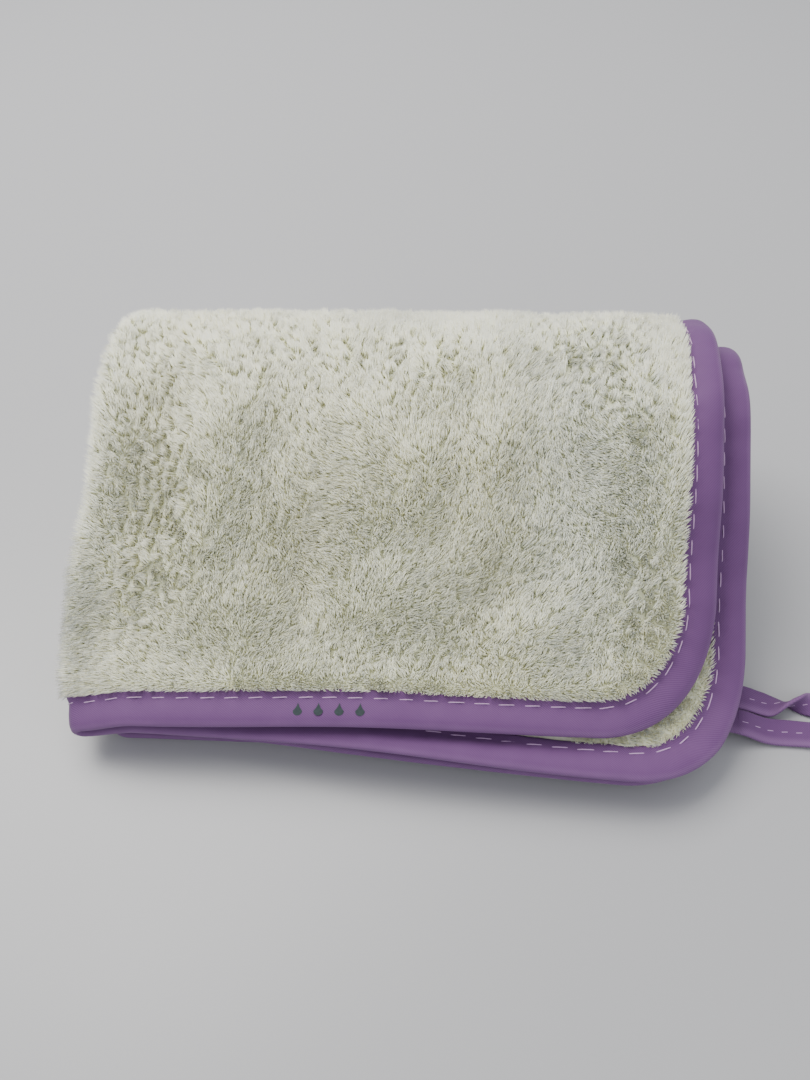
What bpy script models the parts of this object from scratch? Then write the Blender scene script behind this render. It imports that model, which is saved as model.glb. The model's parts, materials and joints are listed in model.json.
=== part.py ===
"""Quick dry towel: a small plush fleece towel with rounded corners, bound all round with a stitched tape,
folded in half to the left and then in half to the back, with a hanging loop at one corner.

Blender script, metres, +Z up. The towel lies on Z = 0 with its open front edge towards -Y and its last fold
towards +Y. X = 0 is the middle of the top layer and Y = 0 the middle of the footprint.

The cloth is one sheet in four layers. Layers 1 (top) and 4 (bottom) are joined round the outside of the back
fold, layers 2 and 3 round its inside, and each pair is joined at the left fold. A place on the cloth is:
  half    +1 for layers 1 and 2, -1 for layers 3 and 4
  nest    0 on the outer layers 1 and 4, 1 on the inner layers 2 and 3, between them in the left fold
  x       metres along X
  inward  metres inside the front edge: to the crest line of the back fold at FRONT_RUN, and past that,
          round the roll to its hindmost line
"""

import math

import bpy
from mathutils import Vector

MM = 0.001

# Folded towel
TOP_WIDTH = 145.0 * MM  # layer 1, left fold to right edge
UNDER_REACH = 8.0 * MM  # layer 2 reaches past layer 1 on the right
FRONT_REACH = 9.0 * MM  # and on the front, at the right corner
DEPTH = 107.0 * MM  # front edge of layer 1 to the back of the roll
ROLL_RADIUS = 30.0 * MM  # outer layer's middle, round the back fold
FRONT_SLACK = 0.5 * MM  # between the two layers of a half at the front edge
ROLL_SLACK = 3.1 * MM  # and round the roll
CORNER_RADIUS = 27.0 * MM
LEFT_TAPER = 4.5 * MM  # how far the left fold leans in towards the back
RIGHT_FLARE = 2.5 * MM  # and the right edge out
LOWER_LEFT_INSET = 8.0 * MM  # lower half's left fold lies inside the upper one at the front
LOWER_FRONT_INSET = 3.0 * MM  # and its front edge
LOWER_TWIST = 2.0 * MM  # lower half's right edge, out at the back and in at the front
SWELL = 0.88  # how much of the rise to the roll is a swell, the rest a bow

# Cloth, binding, thread and loop
FLEECE = 3.4 * MM  # backing with the pile on both faces
BINDING_WIDTH = 8.0 * MM
BINDING = 2.0 * MM  # folded tape over the fleece's edge
THREAD_RADIUS = 0.15 * MM
STITCH_INSET = 6.2 * MM  # stitching from the towel's outer edge
GAP = 0.3 * MM
HINGE_GAP = 1.0 * MM  # between the two halves, where the back fold hinges
LOOP_WIDTH = 6.5 * MM
LOOP_TAPE = 1.0 * MM
LOOP_CLEARANCE = 1.5 * MM  # its hinge outside the edge above it, so that it can stand up

# The free loop's route from its root, in millimetres out of the corner, along it and up: out along the front
# leg and back along the other, down on the surface that the towel lies on
LOOP_ROUTE = (
    (0.3, -3.7, 0.0),
    (2.5, -3.7, -0.3),
    (8.0, -3.2, -2.4),
    (15.0, -2.0, -2.8),
    (22.0, -1.0, -2.8),
    (30.0, -0.3, -2.8),
    (38.0, 0.7, -2.8),
    (44.0, 3.4, -2.8),
    (46.5, 8.2, -2.8),
    (44.0, 12.8, -2.8),
    (38.5, 14.2, -2.8),
    (31.0, 11.6, -2.8),
    (23.0, 8.2, -2.8),
    (15.5, 6.0, -2.8),
    (8.5, 4.6, -2.4),
    (2.5, 3.8, -0.3),
    (0.3, 3.7, 0.0),
)
LOOP_STEPS = 3

# Where the loop leaves the binding: the angle round the front right corner, below +X
LOOP_ANGLE = math.radians(12.0)

# Finishes: linear colour and roughness
FINISHES = {
    "fleece": ((0.62, 0.63, 0.52), 0.95),
    "binding": ((0.32, 0.17, 0.47), 0.55),
    "thread": ((0.60, 0.38, 0.72), 0.5),
}

# Grid steps
SIDE_STEPS = 8
FOLD_STEPS = 6
ROLL_STEPS = 6
RUN_STEPS = 10
CORNER_STEPS = 6

FRONT_PITCH = FLEECE + FRONT_SLACK  # layer to layer
ROLL_PITCH = FLEECE + ROLL_SLACK
BASE = FLEECE / 2  # middle of the bottom layer above the floor
FRONT_Y = -DEPTH / 2
ROLL_Y = DEPTH / 2 - ROLL_RADIUS - FLEECE / 2
ROLL_Z = BASE + ROLL_RADIUS
QUARTER = ROLL_RADIUS * math.pi / 2
RIGHT = TOP_WIDTH / 2
LEFT = -TOP_WIDTH / 2
HINGE_Y = DEPTH / 2 + GAP
FRONT_RUN = ROLL_Y - FRONT_Y
FRONT_TOP = BASE + 3 * FRONT_PITCH  # middle of layer 1 at the front edge
CREST = ROLL_Z + ROLL_RADIUS


def mix(a, b, t):
    return a + (b - a) * t


def ease(t):
    t = min(max(t, 0.0), 1.0)
    return t * t * (3 - 2 * t)


def depth_share(inward):
    """1 at the front edge, 0 at the crest line and round the roll."""
    return min(max(1 - inward / FRONT_RUN, 0.0), 1.0)


def roll_share(inward):
    """0 at the crest line, 1 at the hindmost line of the roll."""
    return min(max((inward - FRONT_RUN) / QUARTER, 0.0), 1.0)


def left_x(half, inward):
    """The left fold's outermost line."""
    lean = LEFT_TAPER * (1 - depth_share(inward))
    inset = LOWER_LEFT_INSET * depth_share(inward) if half < 0 else 0.0
    return LEFT + lean + inset


def right_x(half, nest, inward):
    """The right edge."""
    twist = LOWER_TWIST * roll_share(inward)
    if half < 0:
        twist = LOWER_TWIST * (1 - 2 * depth_share(inward))
    return RIGHT + UNDER_REACH * nest + RIGHT_FLARE * (1 - depth_share(inward)) ** 2 + twist


def front_reach(half, nest, x):
    """How far the front edge reaches past layer 1's."""
    across = ease((x - LEFT) / TOP_WIDTH)
    inset = LOWER_FRONT_INSET * (1 - across / 2) if half < 0 else 0.0
    return FRONT_REACH * nest * across - inset


def pitch(inward):
    """The distance between the two layers of a half."""
    return mix(ROLL_PITCH, FRONT_PITCH, ease(depth_share(inward)))


def top_line(inward):
    """(height, tilt) of the middle of layer 1, from the front edge up to the crest."""
    t = 1 - depth_share(inward)
    height = mix(FRONT_TOP, CREST, mix(t * (2 - t), ease(t), SWELL))
    steepness = (CREST - FRONT_TOP) / FRONT_RUN * mix(2 - 2 * t, 6 * t * (1 - t), SWELL)
    return height, math.atan(steepness)


def cloth(half, nest, x, inward):
    """The middle of the cloth at one place."""
    if inward > FRONT_RUN:
        radius = ROLL_RADIUS - ROLL_PITCH * nest
        angle = min((inward - FRONT_RUN) / ROLL_RADIUS, math.pi / 2)
        return Vector((x, ROLL_Y + radius * math.sin(angle), ROLL_Z + half * radius * math.cos(angle)))
    behind = inward - front_reach(half, nest, x) * ease(2 * depth_share(inward))
    gap = pitch(behind) * nest
    if half < 0:
        return Vector((x, FRONT_Y + behind, BASE + gap))
    height, tilt = top_line(behind)
    return Vector((x, FRONT_Y + behind + gap * math.sin(tilt), height - gap * math.cos(tilt)))


def left_fold(half, inward):
    """(nest, x) round the left fold, from the outer layer to the inner one."""
    radius = pitch(inward) / 2
    centre = left_x(half, inward) + radius
    turn = [math.pi * i / FOLD_STEPS for i in range(FOLD_STEPS + 1)]
    return [((1 - math.cos(a)) / 2, centre - radius * math.sin(a)) for a in turn]


def roll_inwards():
    """Places round the back fold, from the hindmost line to just short of the crest."""
    start = FRONT_RUN + QUARTER - HINGE_GAP / 2
    return [mix(start, FRONT_RUN, i / ROLL_STEPS) for i in range(ROLL_STEPS)]


def corner_turns():
    return [math.pi / 2 * i / CORNER_STEPS for i in range(CORNER_STEPS + 1)]


def corner_place(inset, turn):
    """(inside the right edge, inside the front edge) round a corner, that far inside the towel's edge."""
    radius = CORNER_RADIUS - inset
    return inset + radius * (1 - math.cos(turn)), inset + radius * (1 - math.sin(turn))


def new_collection(name):
    collection = bpy.data.collections.new(name)
    bpy.context.scene.collection.children.link(collection)
    return collection


def material(name, colour, roughness):
    made = bpy.data.materials.new(name)
    made.use_nodes = True
    shader = made.node_tree.nodes["Principled BSDF"]
    shader.inputs["Base Color"].default_value = (*colour, 1.0)
    shader.inputs["Roughness"].default_value = roughness
    shader.inputs["Metallic"].default_value = 0.0
    return made


def grid_object(name, rows, thickness, finish, collection, origin=Vector((0, 0, 0))):
    """A sheet through rows of points, thickened equally both ways, with its origin at the given place."""
    points = [p - origin for row in rows for p in row]
    width = len(rows[0])
    faces = []
    for i in range(len(rows) - 1):
        for j in range(width - 1):
            a = i * width + j
            faces.append((a, a + 1, a + 1 + width, a + width))
    mesh = bpy.data.meshes.new(name)
    mesh.from_pydata(points, [], faces)
    mesh.materials.append(finish)
    made = bpy.data.objects.new(name, mesh)
    made.location = origin
    collection.objects.link(made)
    shell = made.modifiers.new("thickness", "SOLIDIFY")
    shell.thickness = thickness
    shell.offset = 0.0
    shell.use_even_offset = True
    return made


def thread_object(name, points, finish, collection, origin=Vector((0, 0, 0))):
    """A round thread through points."""
    curve = bpy.data.curves.new(name, "CURVE")
    curve.dimensions = "3D"
    curve.bevel_depth = THREAD_RADIUS
    curve.bevel_resolution = 0
    curve.use_fill_caps = True
    spline = curve.splines.new("POLY")
    spline.points.add(len(points) - 1)
    for slot, p in zip(spline.points, points):
        slot.co = (*(p - origin), 1.0)
    curve.materials.append(finish)
    made = bpy.data.objects.new(name, curve)
    made.location = origin
    collection.objects.link(made)
    return made


def hinge_origin(half):
    """The back fold's axis for the half that turns on it, and the floor for the one that stays."""
    return Vector((0, HINGE_Y, ROLL_Z)) if half > 0 else Vector((0, 0, 0))


def fleece_row(half, inward, inset):
    """One row of the fleece, from the outer layer's right side, round the left fold, to the inner one's."""
    fold = left_fold(half, inward)
    row = []
    for nest in (0, 1):
        end = right_x(half, nest, inward) - inset
        start = fold[-nest][1]
        side = [(nest, mix(end, start, i / SIDE_STEPS)) for i in range(SIDE_STEPS)]
        row.append(side)
    spots = row[0] + fold + row[1][::-1]
    return [cloth(half, nest, x, inward) for nest, x in spots]


def fleece_rows(half):
    """The fleece up to the binding, from the hindmost line of the roll to the front."""
    inset = BINDING_WIDTH + GAP
    corner = corner_place(inset, 0.0)[1]
    straight = [mix(FRONT_RUN, corner, i / RUN_STEPS) for i in range(RUN_STEPS)]
    rows = [fleece_row(half, inward, inset) for inward in roll_inwards() + straight]
    for turn in corner_turns():
        side, inward = corner_place(inset, turn)
        rows.append(fleece_row(half, inward, side))
    return rows


def edge_strip(half, inset):
    """The line that far inside the towel's edge, from the hinge along the outer layer's right side, round
    the front and the left fold, and back along the inner layer's."""
    corner = corner_place(inset, 0.0)[1]
    straight = [mix(FRONT_RUN, corner, i / RUN_STEPS) for i in range(RUN_STEPS)]
    fold = left_fold(half, inset)
    sides = []
    for nest in (0, 1):
        spots = [(right_x(half, nest, inward) - inset, inward) for inward in roll_inwards() + straight]
        for turn in corner_turns():
            side, inward = corner_place(inset, turn)
            spots.append((right_x(half, nest, inward) - side, inward))
        end, start = spots[-1][0], fold[-nest][1]
        spots += [(mix(end, start, i / SIDE_STEPS), inset) for i in range(1, SIDE_STEPS)]
        sides.append([cloth(half, nest, *spot) for spot in spots])
    return sides[0] + [cloth(half, nest, x, inset) for nest, x in fold] + sides[1][::-1]


def stitch_points(half, side):
    """The stitching's path on one face of the binding: side is +1 for the face that is the outer one of the
    fold and -1 for the inner one."""
    height = BINDING / 2 + GAP + THREAD_RADIUS
    rim = edge_strip(half, 0.0)
    line = edge_strip(half, STITCH_INSET)
    points = []
    for i, p in enumerate(line):
        along = line[min(i + 1, len(line) - 1)] - line[max(i - 1, 0)]
        normal = along.cross(rim[i] - p).normalized()
        points.append(p + normal * height * side)
    return points


def add_half(half, word, finishes, collection):
    """The fleece, the binding and both threads of one half."""
    origin = hinge_origin(half)
    grid_object(f"fleece_{word}", fleece_rows(half), FLEECE, finishes["fleece"], collection, origin)
    strips = [edge_strip(half, BINDING_WIDTH * i / 2) for i in range(3)]
    rows = list(zip(*strips))
    grid_object(f"binding_{word}", rows, BINDING, finishes["binding"], collection, origin)
    for side, thread in ((1, "needle_thread"), (-1, "bobbin_thread")):
        points = stitch_points(half, side)
        thread_object(f"{thread}_{word}", points, finishes["thread"], collection, origin)


def loop_frame():
    """The loop's root, where it hinges just outside the corner, with the directions out of the corner and
    along it."""
    side, inward = corner_place(-LOOP_CLEARANCE, LOOP_ANGLE)
    edge = cloth(1, 1, right_x(1, 1, inward) - side, inward)
    root = Vector((edge.x, edge.y, BASE + FRONT_PITCH / 2))
    out = Vector((math.cos(LOOP_ANGLE), -math.sin(LOOP_ANGLE), 0))
    along = Vector((math.sin(LOOP_ANGLE), math.cos(LOOP_ANGLE), 0))
    return root, out, along


def smooth_line(knots, steps):
    """A Catmull-Rom curve through the knots."""
    line = []
    last = len(knots) - 1
    for i in range(last):
        a, b, c, d = (knots[min(max(i + k, 0), last)] for k in (-1, 0, 1, 2))
        for j in range(steps):
            t = j / steps
            line.append(b + 0.5 * t * (c - a + t * (2 * a - 5 * b + 4 * c - d + t * (3 * b - a - 3 * c + d))))
    return line + [knots[last]]


def loop_line():
    """The free loop's centreline, from the corner out and back."""
    root, out, along = loop_frame()
    up = Vector((0, 0, 1))
    knots = [root + (out * o + along * a + up * z) * MM for o, a, z in LOOP_ROUTE]
    return smooth_line(knots, LOOP_STEPS)


def ribbon_rows(line):
    """A flat tape along a line, its width level with the floor."""
    rows = []
    for i, p in enumerate(line):
        along = line[min(i + 1, len(line) - 1)] - line[max(i - 1, 0)]
        across = Vector((-along.y, along.x, 0)).normalized() * LOOP_WIDTH / 2
        rows.append([p - across, p + across])
    return rows


def add_loop(finishes, collection):
    """The free loop on its hinge, and its two ends sewn in under the corner."""
    root, out, along = loop_frame()
    rows = ribbon_rows(loop_line())
    grid_object("hanging_loop", rows, LOOP_TAPE, finishes["binding"], collection, root)
    reach = LOOP_CLEARANCE + STITCH_INSET - THREAD_RADIUS - 2 * GAP
    width = 2 * LOOP_WIDTH
    ends = [
        [root - out * inward + along * width * side for side in (-0.5, 0.5)]
        for inward in (LOOP_TAPE / 2 + GAP, reach)
    ]
    grid_object("loop_sewn_end", ends, LOOP_TAPE, finishes["binding"], collection)


def main():
    for old in list(bpy.data.objects):
        bpy.data.objects.remove(old)
    collection = new_collection("quick_dry_towel")
    finishes = {name: material(name, *finish) for name, finish in FINISHES.items()}
    add_half(-1, "lower", finishes, collection)
    add_half(1, "upper", finishes, collection)
    add_loop(finishes, collection)


main()
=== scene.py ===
"""The looks of a small plush travel towel, folded in quarters, with a stitched tape binding and a corner loop.

Run as a script, it folds the backing, plants the pile on it, binds and stitches the edge, lays the hanging
loop and sets the stage. All sizes are in metres.
"""

import json
import math

import bpy
import numpy as np
from mathutils import Matrix, Vector, kdtree

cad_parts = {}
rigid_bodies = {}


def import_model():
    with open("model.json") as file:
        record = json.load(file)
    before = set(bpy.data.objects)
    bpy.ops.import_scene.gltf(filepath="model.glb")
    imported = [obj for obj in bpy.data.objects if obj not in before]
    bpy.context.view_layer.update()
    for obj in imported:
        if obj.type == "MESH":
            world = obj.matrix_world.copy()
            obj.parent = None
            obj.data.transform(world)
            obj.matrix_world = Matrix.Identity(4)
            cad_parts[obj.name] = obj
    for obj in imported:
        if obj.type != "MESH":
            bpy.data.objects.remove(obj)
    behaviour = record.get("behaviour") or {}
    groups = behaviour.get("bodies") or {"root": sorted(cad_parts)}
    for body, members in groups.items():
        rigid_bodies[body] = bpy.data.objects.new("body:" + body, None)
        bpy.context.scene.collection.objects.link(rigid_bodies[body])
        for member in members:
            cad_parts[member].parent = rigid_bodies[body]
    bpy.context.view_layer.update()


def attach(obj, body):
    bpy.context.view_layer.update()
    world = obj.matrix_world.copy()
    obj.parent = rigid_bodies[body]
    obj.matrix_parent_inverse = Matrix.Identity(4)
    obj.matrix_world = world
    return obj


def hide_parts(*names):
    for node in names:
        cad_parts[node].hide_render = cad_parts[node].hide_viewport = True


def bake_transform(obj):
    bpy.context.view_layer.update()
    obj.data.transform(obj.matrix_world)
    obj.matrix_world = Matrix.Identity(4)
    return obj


bl_info = {
    "name": "Quick dry towel",
    "version": (1, 0, 0),
    "blender": (4, 5, 0),
    "location": "View3D > Sidebar > Towel",
    "description": "Builds a folded plush towel with its binding, stitching and hanging loop",
    "category": "Object",
}

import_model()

MM = 0.001
STAY, TURN = "lower_half", "upper_half"  # the half that lies still and the half that opens
LOWER, UPPER = -1, 1
OUTER, INNER = 0, 1  # the faces of the cloth: outside the left fold, and inside it

BACKING_STEP = 1.6 * MM  # between the backing's places
BACKING_INSET = 2 * MM  # its edge, inside the towel's
EDGE_STEP = 0.7 * MM  # between the sections of the binding
MERGE = 1e-6  # closes a tape's seam
DROPS, DROP_GAP, DROP_SIZE, DROP_INSET = 4, 4.6, 1.05 * MM, 3.2 * MM
FIRST_DROP = -20

# The upper half's hills and hollows: how high in millimetres, where and how wide in millimetres along X and
# inward from the front edge
HILLS = (
    (-4.2, (-54, 56), (9, 19)),
    (-1.8, (40, 44), (13, 17)),
    (0.9, (-12, 48), (28, 22)),
    (2.4, (-42, 25), (16, 9)),
    (-1.4, (-20, 30), (7, 10)),
    (2.6, (2, 24), (14, 9)),
    (-1.2, (22, 27), (6, 8)),
    (2.0, (38, 20), (14, 8)),
)

# The free loop's route from its root, in millimetres out of the corner, along it and up
LOOP_ROUTE = (
    (0.3, -3.7, 0.0),
    (2.5, -3.7, -0.3),
    (8.0, -3.2, -2.4),
    (15.0, -2.0, -2.8),
    (22.0, -1.0, -2.8),
    (30.0, -0.3, -2.8),
    (38.0, 0.7, -2.8),
    (44.0, 3.4, -2.8),
    (46.5, 8.2, -2.8),
    (44.0, 12.8, -2.8),
    (38.5, 14.2, -2.8),
    (31.0, 11.6, -2.8),
    (23.0, 8.2, -2.8),
    (15.5, 6.0, -2.8),
    (8.5, 4.6, -2.4),
    (2.5, 3.8, -0.3),
    (0.3, 3.7, 0.0),
)


# ---------------------------------------------------------------- settings


def length(name, about, value):
    return bpy.props.FloatProperty(name=name, description=about, default=value, unit="LENGTH", precision=5)


def fraction(name, about, value):
    return bpy.props.FloatProperty(name=name, description=about, default=value, subtype="FACTOR", min=0, max=1)


def power(name, about, value):
    return bpy.props.FloatProperty(name=name, description=about, default=value, unit="POWER")


def colour(name, about, value):
    return bpy.props.FloatVectorProperty(
        name=name, description=about, default=value, subtype="COLOR", size=3, min=0, max=1
    )


class TowelSizes(bpy.types.PropertyGroup):
    top_width: length("Top width", "Top layer from the left fold to its right edge", 145 * MM)
    under_reach: length("Under reach", "How far the inner layers reach past the outer on the right", 8 * MM)
    front_reach: length("Front reach", "How far they reach past the outer at the front corner", 9 * MM)
    depth: length("Depth", "Front edge to the back of the roll", 107 * MM)
    roll_radius: length("Roll radius", "Outer layer's middle round the back fold", 30 * MM)
    front_pitch: length("Front pitch", "Layer to layer at the front edge", 3.9 * MM)
    roll_pitch: length("Roll pitch", "Layer to layer round the roll", 6.5 * MM)
    corner: length("Corner radius", "Radius of the rounded corners", 27 * MM)
    left_taper: length("Left taper", "How far the left fold leans in towards the back", 4.5 * MM)
    right_flare: length("Right flare", "How far the right edge leans out towards the back", 2.5 * MM)
    lower_left: length("Lower left inset", "Lower half's left fold inside the upper one at the front", 8 * MM)
    lower_front: length("Lower front inset", "Lower half's front edge inside the upper one's", 3 * MM)
    lower_twist: length("Lower twist", "Lower half's right edge, out at the back and in at the front", 2 * MM)
    base: length("Base", "Middle of the bottom layer above the floor", 1.7 * MM)
    swell: fraction("Swell", "How much of the rise to the roll is a swell, the rest a bow", 0.88)


class PileSizes(bpy.types.PropertyGroup):
    backing: length("Backing", "Thickness of the knitted backing", 0.9 * MM)
    height: length("Height", "How far the pile stands off the middle of the cloth", 2.8 * MM)
    lean: length("Lean", "How far the tips lean over", 1.25 * MM)
    tuft: length("Tuft width", "Radius of a tuft at its foot", 0.18 * MM)
    clump: length("Clump", "Distance between clumps of tufts", 1.7 * MM)
    spacing: length("Spacing", "Distance between tufts on the top", 0.27 * MM)


class EdgeSizes(bpy.types.PropertyGroup):
    binding: length("Binding width", "Width of the folded tape", 8 * MM)
    thickness: length("Binding thickness", "The folded tape over the cloth's edge", 2.7 * MM)
    stitch_inset: length("Stitch inset", "Stitching from the outer edge", 6.2 * MM)
    stitch_pitch: length("Stitch pitch", "Length of one stitch with its gap", 5.6 * MM)
    thread: length("Thread", "Diameter of the sewing thread", 0.29 * MM)
    twill: length("Twill", "Distance between the twill lines of the tape", 0.62 * MM)
    loop_width: length("Loop width", "Width of the hanging loop's tape", 6.5 * MM)
    loop_tape: length("Loop thickness", "Thickness of the hanging loop's tape", 1.1 * MM)
    loop_clearance: length("Loop clearance", "The loop's root outside the edge above it", 1.5 * MM)
    loop_angle: bpy.props.FloatProperty(
        name="Loop angle",
        description="Where the loop leaves the corner, below the right-hand direction",
        default=math.radians(12),
        subtype="ANGLE",
    )


class TowelColours(bpy.types.PropertyGroup):
    cream: colour("Cream", "Main colour of the pile", (0.925, 0.93, 0.63))
    warm: colour("Warm", "Yellowish tufts", (0.94, 0.92, 0.56))
    cool: colour("Cool", "Greyish tufts", (0.885, 0.92, 0.76))
    # Painted shade: a darker, more olive tone for the tufts in the cloth's hollows
    deep: colour("Deep", "Tufts in the hollows", (0.86, 0.845, 0.54))
    backing: colour("Backing", "Knitted backing under the pile", (0.86, 0.87, 0.66))
    tape: colour("Tape", "Binding and loop", (0.138, 0.056, 0.176))
    # Paler tape for the folded rim, a painted highlight, and for random patches of wear
    tape_worn: colour("Tape rim", "Binding along its folded rim", (0.212, 0.106, 0.25))
    thread: colour("Thread", "Topstitching", (0.52, 0.32, 0.56))
    ink: colour("Ink", "Printed drops", (0.02, 0.028, 0.03))


class StageSettings(bpy.types.PropertyGroup):
    floor: colour("Floor", "Colour of the floor", (0.405, 0.405, 0.42))
    room: colour("Room", "Colour of the light from all round", (0.86, 0.88, 0.92))
    key: power("Key light", "Power of the overhead light", 13.0)
    fill: power("Fill light", "Power of the side light", 1.2)


GROUPS = {
    "towel_sizes": TowelSizes,
    "towel_pile": PileSizes,
    "towel_edge": EdgeSizes,
    "towel_colours": TowelColours,
    "towel_stage": StageSettings,
}


# ---------------------------------------------------------------- where the cloth lies


def ease(t):
    t = np.clip(t, 0.0, 1.0)
    return t * t * (3 - 2 * t)


def mix(a, b, t):
    return a + (b - a) * t


def unit(vectors):
    return vectors / np.maximum(np.linalg.norm(vectors, axis=-1, keepdims=True), 1e-12)


def ripple(x, y, scale, seed):
    """Smooth noise from about -1 to 1, with waves about scale long."""
    rng = np.random.default_rng(seed)
    total = np.zeros(np.broadcast(x, y).shape)
    waves = 7
    for _ in range(waves):
        angle, phase = rng.uniform(0, 2 * math.pi, 2)
        rate = 2 * math.pi / (scale * rng.uniform(0.7, 1.5))
        total += np.sin(rate * (x * math.cos(angle) + y * math.sin(angle)) + phase)
    return total / math.sqrt(waves)


def mound(x, y, at, size):
    """A smooth bump of height 1."""
    return np.exp(-(((x - at[0] * MM) / (size[0] * MM)) ** 2) - ((y - at[1] * MM) / (size[1] * MM)) ** 2)


class Folded:
    """The folded cloth. A place on a half is given by across, in metres from the left fold's middle, negative
    on the outer layer and positive on the inner one, and inward, in metres inside the front edge."""

    def __init__(self):
        self.s = bpy.context.scene.towel_sizes
        s = self.s
        self.front_y = -s.depth / 2
        self.roll_y = s.depth / 2 - s.roll_radius - s.base
        self.roll_z = s.base + s.roll_radius
        self.quarter = s.roll_radius * math.pi / 2
        self.run = self.roll_y - self.front_y
        self.end = self.run + self.quarter
        self.front_top = s.base + 3 * s.front_pitch
        self.crest = self.roll_z + s.roll_radius
        self.left = -s.top_width / 2

    def front_share(self, inward):
        return np.clip(1 - inward / self.run, 0.0, 1.0)

    def roll_share(self, inward):
        return np.clip((inward - self.run) / self.quarter, 0.0, 1.0)

    def pitch(self, inward):
        return mix(self.s.roll_pitch, self.s.front_pitch, ease(self.front_share(inward)))

    def fold_x(self, half, inward):
        share = self.front_share(inward)
        puff = ease(inward / (12 * MM)) * (1 - ease((inward - 16 * MM) / (32 * MM)))
        shift = self.s.lower_left * share if half == LOWER else -4.0 * MM * puff
        return self.left + self.s.left_taper * (1 - share) + shift

    def right_x(self, half, nest, inward):
        twist = self.s.lower_twist * self.roll_share(inward)
        if half == LOWER:
            twist = self.s.lower_twist * (1 - 2 * self.front_share(inward))
        flare = self.s.right_flare * (1 - self.front_share(inward)) ** 2
        return self.s.top_width / 2 + self.s.under_reach * nest + flare + twist

    def reach(self, half, nest, inward):
        """How far across the right edge is, from the left fold's middle."""
        radius = self.pitch(inward) / 2
        return self.right_x(half, nest, inward) - self.fold_x(half, inward) - radius + radius * math.pi / 2

    def spot(self, half, across, inward):
        """(nest, x): the layer and the place along it."""
        radius = self.pitch(inward) / 2
        centre = self.fold_x(half, inward) + radius
        bend = radius * math.pi / 2
        turn = np.clip(across / bend, -1, 1) * math.pi / 2
        flat = np.maximum(np.abs(across) - bend, 0.0)
        return (1 + np.sin(turn)) / 2, centre - radius * np.cos(turn) + flat

    def front_line(self, half, nest, x):
        across = ease((x - self.left) / self.s.top_width)
        inset = self.s.lower_front * (1 - across / 2) if half == LOWER else 0.0
        return self.s.front_reach * nest * across - inset

    def bare(self, half, across, inward):
        """The middle of the smooth cloth."""
        nest, x = self.spot(half, across, inward)
        s = self.s
        behind = inward - self.front_line(half, nest, x) * ease(2 * self.front_share(inward))
        gap = self.pitch(behind) * nest
        if half == UPPER:
            t, climb = 1 - self.front_share(behind), self.crest - self.front_top
            tilt = np.arctan(climb / self.run * mix(2 - 2 * t, 6 * t * (1 - t), s.swell))
            y = self.front_y + behind + gap * np.sin(tilt)
            z = self.front_top + climb * mix(t * (2 - t), ease(t), s.swell) - gap * np.cos(tilt)
        else:
            y, z = self.front_y + behind, s.base + gap
        radius = s.roll_radius - s.roll_pitch * nest
        angle = np.clip((inward - self.run) / s.roll_radius, 0.0, math.pi / 2)
        rolled = inward > self.run
        y = np.where(rolled, self.roll_y + radius * np.sin(angle), y)
        z = np.where(rolled, self.roll_z + half * radius * np.cos(angle), z)
        return np.stack([x, y, z], axis=-1)

    def hills(self, half, across, inward):
        """How far the cloth rises from its smooth shape: lazy folds and hollows that the pile softens."""
        nest, x = self.spot(half, across, inward)
        share = 1.0 if half == UPPER else -nest * 0.5
        calm = 1 - ease(self.roll_share(inward) * 1.2)
        up = 0.55 * ripple(x, inward, 34 * MM, 5) + 0.4 * ripple(x, inward, 17 * MM, 8)
        up = up * ease(inward / (24 * MM)) + 0.35 * ripple(x, inward, 60 * MM, 3)
        if half == UPPER:
            for high, at, size in HILLS:
                up += high * mound(x, inward, at, size)
            brink = 1 - ease((self.s.top_width / 2 - x) / (22 * MM))
            up -= 2.0 * brink * ease((inward - 40 * MM) / (30 * MM))
            arch = np.sin(np.clip((x - self.left) / (140 * MM), 0, 1) * math.pi)
            up += 2.0 * arch * (1 - ease(inward / (30 * MM)))
        return share * calm * up * MM

    def surface(self, half, across, inward):
        here = self.bare(half, across, inward)
        here[..., 2] += self.hills(half, across, inward)
        if half == UPPER:
            tip = (1 - ease((here[..., 0] - self.left) / (15 * MM))) * (1 - ease(inward / (24 * MM)))
            here[..., 2] -= 3.4 * MM * tip
        return here

    def lie(self, half, across, inward):
        """(place, the direction the outer face looks) on the cloth as it lies."""
        step = 0.2 * MM
        here = self.surface(half, across, inward)
        along = self.surface(half, across + step, inward) - here
        back = self.surface(half, across, inward - step) - here
        return here, half * unit(np.cross(along, back))

    def edge_inset(self, half, across, inward):
        """How far inside the towel's edge a place is."""
        nest = (across > 0) * 1.0
        side = self.reach(half, nest, inward) - np.abs(across)
        corner = self.s.corner
        inside = corner - np.hypot(np.maximum(corner - side, 0), np.maximum(corner - inward, 0))
        return np.where((side > corner) | (inward > corner), np.minimum(side, inward), inside)

    def side_line(self, inset, inward):
        """The side inset of the edge line that far inside, at each place inward, round the corner."""
        radius = self.s.corner - inset
        short = np.clip((self.s.corner - inward) / radius, 0, 1)
        return inset + radius * (1 - np.sqrt(1 - short**2))

    def edge_place(self, half, inset, station):
        """(across, inward) of the line that far inside the edge, at each of edge_stations' stations."""
        kind, value = station
        corner = self.s.corner
        turn = np.where(kind % 4 == 1, value, 0.0)
        side = np.where(kind % 4 == 1, inset + (corner - inset) * (1 - np.cos(turn)), inset)
        inward = np.where(kind % 4 == 1, inset + (corner - inset) * (1 - np.sin(turn)), value)
        inward = np.where(kind == 2, inset, inward)
        nest = np.where(kind > 2, 1.0, 0.0)
        sign = 2 * nest - 1
        across = sign * (self.reach(half, nest, inward) - side)
        start = -(self.reach(half, 0.0, inset) - corner)
        finish = self.reach(half, 1.0, inset) - corner
        return np.where(kind == 2, mix(start, finish, value), across), inward


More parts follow.
